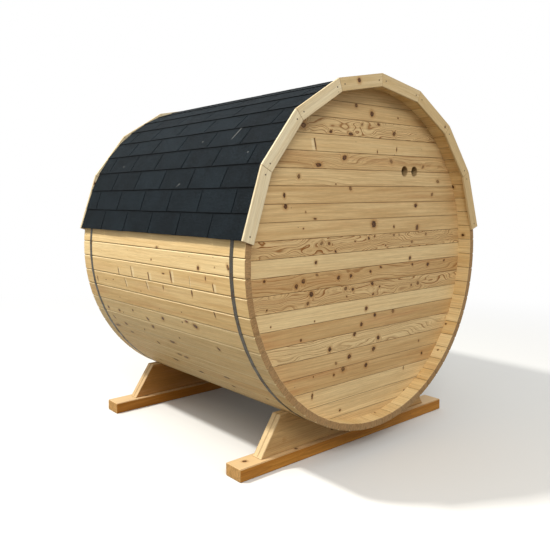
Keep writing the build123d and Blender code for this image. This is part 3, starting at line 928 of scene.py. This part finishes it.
def addCourse(bench, side, index):
    thick = roof["thickness"]
    middles = slotMiddles(index)
    borders = [rearEnd] + [y + way * roof["slot"] / 2 for y in middles for way in (-1, 1)] + [frontEnd]
    # rows up the course, with how dark each is: the cut edge with painted shadow along it, the face, and
    # painted shadow under the butt of the next course
    shares = [0.0, 0.02, 0.2, 0.4, 0.6, 0.8, roof["slotEnd"], 1.0]
    edges = [0.9, 0.1, 0, 0, 0, 0, 0.1, 1.0]
    ys, tones, lifts, shifts, slotted = [], [], [], [], []
    for tab, (start, end) in enumerate(zip(borders, borders[1:])):
        isSlot = tab % 2 == 1
        steps = 1 if isSlot else 7
        tone = chance.random()
        lift = (chance.uniform(0, roof["curl"]), chance.uniform(0, roof["curl"]))
        shift = chance.uniform(0, roof["stagger"]) / roof["exposure"]
        for step in range(steps if tab < len(borders) - 2 else steps + 1):
            ys.append(start + (end - start) * step / steps)
            tones.append(tone)
            lifts.append(lift[0] + (lift[1] - lift[0]) * step / steps)
            shifts.append(shift)
            slotted.append(isSlot)

    def here(column, row, under):
        share = shares[row] + (shifts[column] if row < 2 else 0)
        top = thick * (2 - share) if index else 2 * thick - thick * share
        gap = thick * 0.98 if index else thick * (2 - share)
        rise = lifts[column] * (1 - share) ** 2
        return coursePoint(side, index, share, top - (gap if under else 0) + rise, ys[column])

    def keep(column, row):
        return not (slotted[column] and shares[row] < roof["slotEnd"] - 0.01)

    addSheet(bench, len(ys), len(shares), here, keep, tones, edges)

    def underHere(column, row, under):
        # what the slots show: the course below, or the starter strip at the eave
        share = 0.98 if row else 0.0 if index else roof["starterFrom"]
        height = 0.0001 if under else thick * (0.9 - 0.75 * share)
        return coursePoint(side, index, share, height, (rearEnd, frontEnd)[column])
    addSheet(bench, 2, 2, underHere, lambda column, row: True, [0.1, 0.1], [0, 0])


for sideName, side in (("left", -1), ("right", 1)):
    for third, name in enumerate(("lower", "middle", "upper")):
        bench = newBench()
        for index in range(ceil(courseCount * third / 3), ceil(courseCount * (third + 1) / 3)):
            addCourse(bench, side, index)
        node = name + "_" + sideName + "_shingles"
        finishPiece(bench, node + "_tabs", "shingle", node)

bench = newBench()
capAngles = [ridgeAngle + (90 - ridgeAngle) * step / 4 for step in range(9)]
capCount = ceil((frontEnd - rearEnd) / roof["capLength"])
capStep = (frontEnd - rearEnd) / capCount
for cap in range(capCount):
    capStart = rearEnd + cap * capStep
    capTone = chance.random()
    capShares = [0.0, 0.02, 0.5, 1.0]

    def capHere(column, row, under):
        y = capStart + capShares[row] * capStep
        height = roof["thickness"] * (3 - capShares[row])
        return polar(capAngles[column], roofRadius + height - (roof["thickness"] * 1.95 if under else 0), y)
    # each cap is darker along its butt and where the next cap's butt lies over it, as painted shadow
    addSheet(bench, len(capAngles), len(capShares), capHere, lambda column, row: True,
             [capTone] * len(capAngles), [0.9, 0.1, 0, 0.6])
finishPiece(bench, "ridge_shingles_caps", "shingle", "ridge_shingles")
print("roof shingled")


# Cradles and sleeper beams

support = {
    "foot": 1.682, "top": 1.346, "height": 0.243, "plank": 0.039, "joint": 0.0005, "edge": 0.003,
    "beamEdge": 0.004, "knotsPerMetre": 3.0, "cradleFigure": 0.3,
    "bearing": hypot(barrel["radius"], staveHalf - 0.0028) + 0.0002,     # where the eased stave corners rest
    # the front cradle, which sits in the barrel's shadow, is given the warmest, darkest tone as painted shade
    "cradleTones": {"rear": 0.15, "front": 1.0}, "beamTones": {"rear": 0.6, "front": 0.8},
    "rearBeamKnots": [(-930, 10, 13, 10), (-550, -50, 10, 8), (200, -45, 12, 9), (750, 20, 12, 10)],
}


def addCradle(name):
    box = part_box(name + "_cradle")
    base = box[0].z
    bench = newBench()
    slope = (support["foot"] - support["top"]) / 2

    def high(u):
        end = (support["foot"] / 2 - abs(u)) / slope * support["height"]
        arc = axisHeight - base - sqrt(support["bearing"] ** 2 - u ** 2)
        return max(min(end, support["height"], arc), 0.0025)

    half = support["foot"] / 2
    tip = sqrt(support["bearing"] ** 2 - (axisHeight - base - support["height"]) ** 2)
    extra = [side * (u + nudge)
             for side in (-1, 1) for u in (support["top"] / 2, tip) for nudge in (-0.0002, 0.0002)]
    extra += [side * (half - 0.004 * step) for side in (-1, 1) for step in (1, 2, 4)]
    middle = (box[0].y + box[1].y) / 2
    for way in (-1, 1):
        place = flatPlace((0, middle + way * support["joint"] / 2, base), (1, 0, 0), (0, 0, 1), (0, way, 0))
        knots = strewKnots((-half + 0.25, half - 0.25), 0.0, 0.09, support["knotsPerMetre"])
        for side in (-1, 1):
            knots.append((side * chance.uniform(0.58, 0.66), chance.uniform(0.1, 0.2), 0.014, 0.011))
        tone, figure = support["cradleTones"][name], support["cradleFigure"]
        log = newLog(support["height"], support["plank"], tone, figure)
        addPlank(bench, place, (-half, half), 0.0, high, 0.0, support["plank"] - support["joint"] / 2,
                 ease=support["edge"], endEase=0.0015, extra=extra, knots=knots, log=log)
    finishPiece(bench, name + "_cradle_timber", "cradle_wood", name + "_cradle")


def addBeam(name, knots):
    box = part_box(name + "_beam")
    bench = newBench()
    middle = (box[0].y + box[1].y) / 2
    half = (box[1].y - box[0].y) / 2
    place = flatPlace((0, middle, 0), (1, 0, 0), (0, 1, 0), (0, 0, 1))
    log = newLog(0.06, box[1].z, support["beamTones"][name])
    log["deep"] = 0.03         # the pith runs inside the beam
    addPlank(bench, place, (box[0].x, box[1].x), -half, half, box[0].z, box[1].z, ease=support["beamEdge"],
             endEase=0.003, knots=knots, log=log)
    finishPiece(bench, name + "_beam_timber", "beam_wood", name + "_beam")


addCradle("rear")
addCradle("front")
addBeam("rear", [inMetres(knot) for knot in support["rearBeamKnots"]])
addBeam("front", strewKnots((-1.0, 1.0), -0.06, 0.06, support["knotsPerMetre"]))
print("cradles and beams set")


# Door: frame, boarded leaf on ledges, strap hinges and a turned bar handle

door = {
    "boards": 7, "edge": 0.0025, "frameEdge": 0.003, "ledgeEdge": 0.005, "ledgeHeight": 0.095,
    "knotsPerMetre": 2.6,
    "strapRoot": 0.050, "strapTip": 0.024, "strapThickness": 0.003, "strapLength": 0.420,
    "flapWidth": 0.042, "flapCorner": 0.006, "plateEase": 0.0007,
    "knuckle": 0.014, "boltRadius": 0.0075, "boltRise": 0.0032, "screwRadius": 0.0045, "screwRise": 0.0012,
    "boltsAlong": (0.045, 0.17, 0.30), "boltFromTip": 0.028, "flapBolts": 0.026, "pinGap": 0.004,
    "bar": 0.032, "post": 0.024, "postSpacing": 0.220,
    "barWaist": 0.03,          # how much slimmer the bar is in the middle
    # The rounded end of the bar: distance along it and share of its radius
    "barEnd": ((0.0, 0.62), (0.001, 0.78), (0.004, 0.93), (0.009, 1)),
}


def boxPlank(bench, box, along, outwardWay=1, **more):
    # A plain board that fills a box, along X or Z, its face towards +Y
    middle = (box[0] + box[1]) / 2
    size = box[1] - box[0]
    across = "z" if along == "x" else "x"
    directions = {"x": (1, 0, 0), "z": (0, 0, 1)}
    half = {"x": size.x / 2, "z": size.z / 2}
    origin = (middle.x, box[1].y if outwardWay > 0 else box[0].y, middle.z)
    place = flatPlace(origin, directions[along], directions[across], (0, outwardWay, 0))
    ends = (-half[along], half[along])
    low, high = -half[across], half[across]
    more.setdefault("knots", strewKnots(ends, low, high, door["knotsPerMetre"]))
    addPlank(bench, place, ends, low, high, -size.y, **more)


def splitBox(box, low, high):
    return (Vector((low, box[0].y, box[0].z)), Vector((high, box[1].y, box[1].z)))


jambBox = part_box("door_jambs")
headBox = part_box("door_head")
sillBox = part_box("door_sill")
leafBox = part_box("door_leaf")
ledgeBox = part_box("door_ledges")
frameWidth = headBox[1].z - headBox[0].z
bench = newBench()
boxPlank(bench, splitBox(jambBox, jambBox[0].x, jambBox[0].x + frameWidth), "z", ease=door["frameEdge"])
boxPlank(bench, splitBox(jambBox, jambBox[1].x - frameWidth, jambBox[1].x), "z", ease=door["frameEdge"])
finishPiece(bench, "door_jambs_timber", "door_wood", "door_jambs")
for name, box in (("door_head", headBox), ("door_sill", sillBox)):
    bench = newBench()
    boxPlank(bench, box, "x", ease=door["frameEdge"])
    finishPiece(bench, name + "_timber", "door_wood", name)

bench = newBench()
boardWidth = (leafBox[1].x - leafBox[0].x) / door["boards"]
for number in range(door["boards"]):
    low = leafBox[0].x + number * boardWidth
    box = splitBox(leafBox, low + 0.0001, low + boardWidth - 0.0001)
    boxPlank(bench, box, "z", ease=door["edge"], seam=1)
finishPiece(bench, "door_leaf_timber", "door_wood", "door_leaf")

bench = newBench()
screwBench = newBench()
ledgeHeight = door["ledgeHeight"]
ledgeMiddle = (ledgeBox[0].z + ledgeBox[1].z) / 2
for low in (ledgeBox[0].z, ledgeMiddle - ledgeHeight / 2, ledgeBox[1].z - ledgeHeight):
    high = low + ledgeHeight
    box = (Vector((ledgeBox[0].x, ledgeBox[0].y, low)), Vector((ledgeBox[1].x, ledgeBox[1].y, high)))
    boxPlank(bench, box, "x", outwardWay=-1, ease=door["ledgeEdge"])
    for number in range(door["boards"]):
        for share in (0.28, 0.72):
            x = leafBox[0].x + (number + 0.5) * boardWidth
            spot = Vector((x, ledgeBox[0].y, low + ledgeHeight * share))
            addDome(screwBench, spot, (0, -1, 0), door["screwRadius"], door["screwRise"])
finishPiece(bench, "door_ledges_timber", "door_wood", "door_ledges")
finishPiece(screwBench, "ledge_screws", "nail_steel", smooth=50)


def addPlate(bench, outline, place, low, high, ease):
    # A steel plate with its edges rounded over
    plate = bmesh.new()
    bottom = [plate.verts.new((u, v, low)) for u, v in outline]
    top = [plate.verts.new((u, v, high)) for u, v in outline]
    plate.faces.new(list(reversed(bottom)))
    plate.faces.new(top)
    for spot in range(len(outline)):
        after = (spot + 1) % len(outline)
        plate.faces.new((bottom[spot], bottom[after], top[after], top[spot]))
    bmesh.ops.bevel(plate, geom=plate.edges[:], offset=ease, segments=2, profile=0.5, affect="EDGES")
    plate.verts.index_update()
    points = [addPoint(bench, place(*vert.co)) for vert in plate.verts]
    for face in plate.faces:
        bench["mesh"].faces.new([points[vert.index] for vert in face.verts])
    plate.free()


def addRod(bench, start, direction, profile, sides=24, log=None):
    # A turned rod: pairs of distance along it and radius
    direction = Vector(direction).normalized()
    across = direction.orthogonal().normalized()
    up = direction.cross(across)
    log = log or {"start": 0, "across": 0, "deep": 0, "tone": 0.5, "figure": 0.3}
    rings = []
    for along, radius in profile:
        ring = []
        for step in range(sides):
            v = cos(2 * pi * step / sides) * radius
            w = sin(2 * pi * step / sides) * radius
            grain = (along + log["start"], v - log["across"], w - log["deep"])
            spot = start + direction * along + across * v + up * w
            ring.append(addPoint(bench, spot, grain, log["tone"], log["figure"]))
        rings.append(ring)
    joinRings(bench, rings)
    bench["mesh"].faces.new(list(reversed(rings[0])))
    bench["mesh"].faces.new(rings[-1])


def hexProfile(start, size, height):
    radius = size / 2 / cos(pi / 6)
    return [(start, radius * 0.9), (start + height * 0.12, radius),
            (start + height * 0.88, radius), (start + height, radius * 0.9)]


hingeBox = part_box("door_hinges")
pinX = leafBox[0].x - (leafBox[0].x - (jambBox[0].x + frameWidth)) / 2
faceY = leafBox[1].y
bench = newBench()
for z in (hingeBox[0].z + door["strapRoot"], hingeBox[1].z - door["strapRoot"]):
    place = flatPlace((pinX, faceY, z), (1, 0, 0), (0, 0, 1), (0, 1, 0))
    root, tip, length = door["strapRoot"] / 2, door["strapTip"] / 2, door["strapLength"]
    rounded = [(length - tip + tip * sin(pi * step / 8), -tip * cos(pi * step / 8)) for step in range(9)]
    gap = door["pinGap"]
    strap = [(gap, -root)] + rounded + [(gap, root)]
    addPlate(bench, strap, place, 0.0001, door["strapThickness"], door["plateEase"])
    flap, corner = door["flapWidth"], door["flapCorner"]
    outline = [
        (-gap, -2 * root), (-gap, 2 * root), (-flap + corner, 2 * root), (-flap, 2 * root - corner),
        (-flap, -2 * root + corner), (-flap + corner, -2 * root)]
    addPlate(bench, list(reversed(outline)), place, 0.0001, door["strapThickness"], door["plateEase"])
    spot = Vector((pinX, faceY + door["knuckle"] / 2, z - 2 * root))
    radius = door["knuckle"] / 2
    knuckle = []
    for number in range(3):
        start = number * 4 * root / 3
        end = (number + 1) * 4 * root / 3
        knuckle += [(start + 0.0004, radius * 0.86), (start + 0.0012, radius)]
        knuckle += [(end - 0.0012, radius), (end - 0.0004, radius * 0.86)]
    addRod(bench, spot, (0, 0, 1), knuckle)
    boltSpots = [(u, 0) for u in (*door["boltsAlong"], length - door["boltFromTip"])]
    boltSpots += [(-door["flapBolts"], v) for v in (root * 1.4, 0, -root * 1.4)]
    for u, v in boltSpots:
        spot = place(u, v, door["strapThickness"])
        addDome(bench, spot, (0, 1, 0), door["boltRadius"], door["boltRise"], 16)
finishPiece(bench, "door_hinges_steel", "hinge_steel", "door_hinges", smooth=40)

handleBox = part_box("door_handle")
barRadius = door["bar"] / 2
handleX = (handleBox[0].x + handleBox[1].x) / 2
handleY = handleBox[1].y - barRadius
handleZ = (handleBox[0].z + handleBox[1].z) / 2
barLength = handleBox[1].z - handleBox[0].z
bench = newBench()
barProfile = [(along, barRadius * share) for along, share in door["barEnd"]]
farEnd = [(barLength - along, radius) for along, radius in reversed(barProfile)]
for step in range(1, 8):
    barProfile.append((barLength * step / 8, barRadius * (1 - door["barWaist"] * sin(pi * step / 8))))
barProfile += farEnd
addRod(bench, Vector((handleX, handleY, handleBox[0].z)), (0, 0, 1), barProfile, 32, newLog(0.03, 0.0))
for way in (-1, 1):
    postStart = Vector((handleX, handleBox[0].y, handleZ + way * door["postSpacing"] / 2))
    postRadius = door["post"] / 2
    reach = handleY - handleBox[0].y
    postProfile = [(0.0, postRadius), (0.003, postRadius)]
    postProfile += [(along, postRadius * 0.86) for along in (0.012, reach - 0.014, reach)]
    addRod(bench, postStart, (0, 1, 0), postProfile, 24, newLog(0.03, 0.0))
finishPiece(bench, "door_handle_turned", "handle_wood", "door_handle", smooth=40)
print("door hung")


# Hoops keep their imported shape; each tightener is two bent lugs drawn up by a bolt

tightener = {
    "stave": -7, "gap": 0.036, "foot": 0.028, "height": 0.034, "thickness": 0.004, "width": 0.032,
    "bend": 0.005, "boltRise": 0.020, "bolt": 0.008, "boltLength": 0.092, "nut": 0.013, "nutHeight": 0.0065,
    "pitch": 0.00125, "washer": 0.0085, "washerHeight": 0.0014, "boltTip": 0.003, "lugEase": 0.0006,
}
for name in ("rear_hoop", "front_hoop"):
    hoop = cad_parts[name]
    hoop.data.materials.clear()
    hoop.data.materials.append(finishes["hoop_steel"])

bench = newBench()
for name in ("rear_hoop", "front_hoop"):
    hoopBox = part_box(name)
    y = (hoopBox[0].y + hoopBox[1].y) / 2
    angle = tightener["stave"] * 2 * halfTurn
    outward = outwardAt(angle)
    across = Vector((-outward.z, 0, outward.x))
    seat = Vector((0, y, axisHeight)) + outward * (barrel["radius"] + 0.001)
    for way in (-1, 1):
        near, thick, bend = tightener["gap"] / 2, tightener["thickness"], tightener["bend"]
        far = near + tightener["foot"] - 0.004
        outline = [(far, 0), (far, thick), (near + thick + bend, thick)]
        for step in range(1, 5):
            turn = pi / 2 * step / 4
            outline.append((near + thick + bend * (1 - sin(turn)), thick + bend * (1 - cos(turn))))
        outline += [(near + thick, tightener["height"]), (near, tightener["height"])]
        outline += [(near, bend * 0.4), (near + bend * 0.4, 0)]
        if way < 0:
            outline = [(-u, v) for u, v in reversed(outline)]
        lugPlace = flatPlace(seat + Vector((0, -tightener["width"] / 2, 0)), across, outward, (0, 1, 0))
        addPlate(bench, list(reversed(outline)), lugPlace, 0.0, tightener["width"], tightener["lugEase"])
    axis = seat + outward * tightener["boltRise"]
    length, radius = tightener["boltLength"], tightener["bolt"] / 2
    thread = [(0.0, tightener["boltTip"])]
    along = 0.001
    while along < length - 0.001:
        thread += [(along, radius), (along + tightener["pitch"] / 2, radius * 0.9)]
        along += tightener["pitch"]
    thread.append((length, tightener["boltTip"]))
    addRod(bench, axis - across * (length / 2), across, thread, 14)
    for way in (-1, 1):
        start = tightener["gap"] / 2 + tightener["thickness"]
        end = start + tightener["washerHeight"]
        addRod(bench, axis, across * way, [(start, tightener["washer"]), (end, tightener["washer"])], 24)
        addRod(bench, axis, across * way, hexProfile(end, tightener["nut"], tightener["nutHeight"]), 6)
finishPiece(bench, "hoop_tighteners_steel", "hoop_steel", "hoop_tighteners", smooth=30)
print("hoops drawn up")


# Floor, light and camera

studio = {
    # The floor is pale to the camera and darker to the light that bounces off it, and clears away further out
    "floor": paint(236, 236, 234), "floorBounce": paint(112, 108, 100), "floorRadius": 60.0,
    "floorDrop": 0.0005, "clearFrom": 2.2, "clearTo": 7.0,
    "fill": (0.70, 0.70, 0.69, 1), "fillStrength": 1.0,
    # Softboxes: place, size, power in watts and colour, all turned to one aim
    "aim": (0, 0, 1.2),
    "softboxes": {
        "key": ((-5.3, 2.7, 8.9), 0.6, 850.0, (1.0, 0.97, 0.91)),
        "rear": ((-4.0, -6.5, 6.6), 3.0, 300.0, (1.0, 0.98, 0.95))},
    "cameraPlace": (-3.3042, -3.5904, 1.7069), "cameraTurn": (85.873, 0.391, -38.283), "lens": 40.687,
    "shift": (0.0846, -0.0614),
}


def seenRay():
    rays = put("LightPath").node.outputs
    seen = calc("MAXIMUM", rays["Is Camera Ray"], rays["Is Glossy Ray"])
    return calc("MAXIMUM", seen, rays["Is Transmission Ray"])


def makeFloor():
    mesh = bpy.data.meshes.new("floor")
    floorMesh = bmesh.new()
    bmesh.ops.create_circle(floorMesh, cap_ends=True, segments=96, radius=studio["floorRadius"])
    floorMesh.to_mesh(mesh)
    floorMesh.free()
    floor = bpy.data.objects.new("floor", mesh)
    floor.location.z = -studio["floorDrop"]
    bpy.context.collection.objects.link(floor)
    finish, surface = newFinish("paleFloor")
    output = surface.outputs[0].links[0].to_node
    bounced = put("LightPath", out="Is Diffuse Ray")
    colour = mixColour(bounced, studio["floor"], studio["floorBounce"])
    feed(surface, {"Base Color": colour, "Roughness": 0.9, "Specular IOR Level": 0.1})
    clear = fade(lengthOf(put("TexCoord", out="Object")), studio["clearFrom"], studio["clearTo"], 0, 1)
    glow = put("Emission", {"Color": (1, 1, 1, 1), "Strength": 1.0})
    feed(output, {"Surface": put("MixShader", {0: times(clear, seenRay()), 1: surface.outputs[0], 2: glow})})
    mesh.materials.append(finish)


def makeLight():
    world = bpy.data.worlds.new("studioWorld")
    bpy.context.scene.world = world
    world.use_nodes = True
    mixing["tree"] = world.node_tree
    world.node_tree.nodes.clear()
    fill = put("Background", {"Color": studio["fill"], "Strength": studio["fillStrength"]})
    white = put("Background", {"Color": (1, 1, 1, 1), "Strength": 1.0})
    output = world.node_tree.nodes.new("ShaderNodeOutputWorld")
    feed(output, {"Surface": put("MixShader", {0: seenRay(), 1: fill, 2: white})})
    for name, (spot, size, power, colour) in studio["softboxes"].items():
        light = bpy.data.lights.new(name, "AREA")
        light.energy = power
        light.size = size
        light.color = colour
        lamp = bpy.data.objects.new(name, light)
        lamp.location = spot
        lamp.rotation_euler = (Vector(studio["aim"]) - lamp.location).to_track_quat("-Z", "Y").to_euler()
        bpy.context.collection.objects.link(lamp)


def makeCamera():
    lens = bpy.data.cameras.new("camera")
    lens.lens = studio["lens"]
    lens.sensor_width = 36
    lens.shift_x, lens.shift_y = studio["shift"]
    camera = bpy.data.objects.new("camera", lens)
    camera.location = studio["cameraPlace"]
    camera.rotation_euler = [radians(value) for value in studio["cameraTurn"]]
    bpy.context.collection.objects.link(camera)
    bpy.context.scene.camera = camera


makeFloor()
makeLight()
makeCamera()
bpy.context.scene.view_settings.view_transform = "Standard"
print("studio set up")
